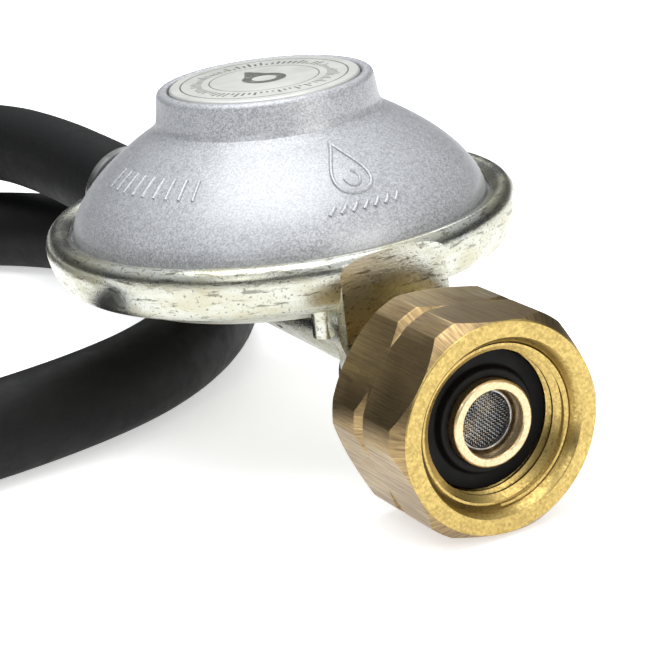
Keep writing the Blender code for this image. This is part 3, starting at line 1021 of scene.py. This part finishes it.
def makeInlet():
    place = alongInlet()
    stem = lathe(
        "stem",
        [
            (4.9, 59.2), (5.9, 59.2), (6.2, 58.9), (6.2, 53.6), (9.6, 53.6), (9.6, 44.6),
            (7.0, 44.3), (7.0, 39.4), (8.3, 39.2), (8.3, 37.6), (5.5, 37.6), (5.5, 29.4),
            (2.6, 29.4), (2.6, 50.0), (4.7, 50.6), (4.7, 58.9),
        ],
        144,
        True,
        0.12,
        place,
    )
    finished("nozzle", stem, "regulator", ["inlet_stem"])
    washer = lathe("washer", [(9.3, 37.3), (9.3, 35.65), (5.8, 35.65), (5.8, 37.3)], 128, True, 0.25, place)
    finished("stemWasher", washer, "regulator", ["stem_washer"])
    seal = lathe(
        "seal",
        [(6.25, 57.6), (7.3, 57.6), (7.7, 56.3), (10.0, 56.3), (10.0, 53.9), (6.25, 53.9)],
        128,
        True,
        0.3,
        place,
    )
    finished("inletSeal", seal, "regulator", ["inlet_gasket"])
    ring = lathe(
        "ring", [(4.0, 56.9), (4.25, 56.9), (4.4, 56.75), (4.4, 56.2), (4.0, 56.2)], 96, True, 0.15, place
    )
    finished("filterRing", ring, "regulator", ["filter_ring"])
    back = nut["face"] - nut["length"]
    face = nut["face"]
    corner = nut["corner"]
    shape = lathe(
        "nutBlank",
        [
            (12.7, face), (14.9, face), (corner, face - 2.0), (corner, 52.2), (15.3, 51.2),
            (15.3, 50.8), (corner, 49.8), (corner, back + 1.6), (15.0, back), (7.5, back),
            (7.5, 43.5), (11.1, 43.9), (11.1, 58.6), (12.0, 60.6),
        ],
        240,
        True,
        0.12,
        place,
    )
    flats = hexMesh("nutFlats", nut["flats"], back - 2.0, face + 2.0, nut["turn"], place)
    shape = carved(shape, [("INTERSECT", flats)])
    thread = threadMesh(11.1, 10.15, 45.2, 60.2, nut["pitch"], -1, place)
    finished("unionNut", joined("unionNut", [shape, thread]), "union_nut", ["union_nut"], None, 25)


def makeWovenDisc():
    # Crossing wires: one sheet of waved wires, used twice at right angles
    tree = bpy.data.node_groups.new("wovenDisc", "GeometryNodeTree")
    for name, kind, value in (
        ("Pitch", "NodeSocketFloat", 0.5 * mm),
        ("Wire", "NodeSocketFloat", 0.11 * mm),
        ("Radius", "NodeSocketFloat", 4.3 * mm),
        ("Wires", "NodeSocketInt", 20),
    ):
        socket = tree.interface.new_socket(name, in_out="INPUT", socket_type=kind)
        socket.default_value = value
    tree.interface.new_socket("Geometry", in_out="OUTPUT", socket_type="NodeSocketGeometry")
    given = addNode(tree, "NodeGroupInput").outputs
    pitch, wire, radius, wires = given[0], given[1], given[2], given[3]

    def sums(what, a, b=0.0):
        return addNode(tree, "ShaderNodeMath", {"operation": what}, s0=a, s1=b).outputs[0]

    def spot(x=0.0, y=0.0, z=0.0):
        return addNode(tree, "ShaderNodeCombineXYZ", None, X=x, Y=y, Z=z).outputs[0]

    half = sums("MULTIPLY", sums("MULTIPLY", wires, pitch), 0.5)
    line = addNode(
        tree, "GeometryNodeCurvePrimitiveLine", None, Start=spot(sums("MULTIPLY", half, -1.0)), End=spot(half)
    )
    points = addNode(
        tree,
        "GeometryNodeResampleCurve",
        None,
        Curve=line.outputs[0],
        Count=sums("ADD", sums("MULTIPLY", wires, 8), 1),
    )
    here = addNode(tree, "GeometryNodeInputPosition").outputs[0]
    x = addNode(tree, "ShaderNodeSeparateXYZ", None, Vector=here).outputs[0]
    wave = sums("MULTIPLY", sums("SINE", sums("MULTIPLY", sums("DIVIDE", x, pitch), math.pi)), wire)
    waved = addNode(
        tree, "GeometryNodeSetPosition", None, Geometry=points.outputs[0], Offset=spot(z=wave)
    )
    rim = addNode(tree, "GeometryNodeCurvePrimitiveCircle", None, Resolution=6, Radius=wire)
    solid = addNode(
        tree, "GeometryNodeCurveToMesh", None, Curve=waved.outputs[0], Profile_Curve=rim.outputs[0]
    )
    row = addNode(
        tree,
        "GeometryNodeMeshLine",
        None,
        Count=wires,
        Start_Location=spot(y=sums("MULTIPLY", half, -1.0)),
        Offset=spot(y=pitch),
    )
    laid = addNode(
        tree, "GeometryNodeInstanceOnPoints", None, Points=row.outputs[0], Instance=solid.outputs[0]
    )
    index = addNode(tree, "GeometryNodeInputIndex").outputs[0]
    odd = sums("MULTIPLY", sums("MODULO", index, 2.0), pitch)
    shifted = addNode(
        tree, "GeometryNodeTranslateInstances", None, Instances=laid.outputs[0], Translation=spot(x=odd)
    )
    crossed = addNode(
        tree,
        "GeometryNodeTransform",
        None,
        Geometry=shifted.outputs[0],
        Translation=spot(sums("MULTIPLY", pitch, 0.5), sums("MULTIPLY", pitch, 0.5)),
        Rotation=(0.0, 0.0, math.radians(90)),
    )
    both = addNode(tree, "GeometryNodeJoinGeometry")
    tree.links.new(shifted.outputs[0], both.inputs[0])
    tree.links.new(crossed.outputs[0], both.inputs[0])
    real = addNode(tree, "GeometryNodeRealizeInstances", None, Geometry=both.outputs[0])
    flatHere = addNode(
        tree, "ShaderNodeVectorMath", {"operation": "MULTIPLY"}, s0=here, s1=(1.0, 1.0, 0.0)
    ).outputs[0]
    reach = addNode(tree, "ShaderNodeVectorMath", {"operation": "LENGTH"}, s0=flatHere).outputs[1]
    outside = sums("GREATER_THAN", reach, radius)
    trimmed = addNode(
        tree, "GeometryNodeDeleteGeometry", {"domain": "POINT"}, Geometry=real.outputs[0], Selection=outside
    )
    painted = addNode(
        tree,
        "GeometryNodeSetMaterial",
        None,
        Geometry=trimmed.outputs[0],
        Material=finish["woven_steel"],
    )
    addNode(tree, "NodeGroupOutput", None, Geometry=painted.outputs[0])
    return tree


gauze = {"Pitch": 0.34 * mm, "Wire": 0.075 * mm, "Radius": 4.35 * mm, "Wires": 30}


def makeFilter():
    holder = bpy.data.objects.new("gauze", bpy.data.meshes.new("gauze"))
    bpy.context.scene.collection.objects.link(holder)
    modifier = holder.modifiers.new("weave", "NODES")
    tree = makeWovenDisc()
    modifier.node_group = tree
    for item in tree.interface.items_tree:
        if item.in_out == "INPUT" and item.name in gauze:
            modifier[item.identifier] = gauze[item.name]
    bpy.context.view_layer.update()
    graph = bpy.context.evaluated_depsgraph_get()
    mesh = bpy.data.meshes.new_from_object(holder.evaluated_get(graph))
    bpy.data.objects.remove(holder, do_unlink=True)
    mesh.transform(alongInlet() @ Matrix.Translation((0, 0, 55.75 * mm)))
    finished("filterGauze", mesh, "regulator", ["filter_mesh"])


makeInlet()
makeFilter()
print("inlet made")


# The outlet
def makeOutlet():
    place = alongOutlet()
    tail = lathe(
        "tail",
        [
            (4.0, 61.2), (4.0, 44.6), (8.2, 44.6), (8.2, 42.3), (6.0, 42.3), (6.0, 31.4),
            (2.6, 31.4), (2.6, 61.2),
        ],
        96,
        True,
        0.25,
        place,
    )
    finished("hoseTail", tail, "regulator", ["hose_tail"])
    collar = lathe("collar", ferruleProfile(61.5, 44.9), 96, True, 0.5, place)
    finished("hoseFerrule", collar, "regulator", ["hose_ferrule"], crimpedZinc)


makeOutlet()
print("outlet made")
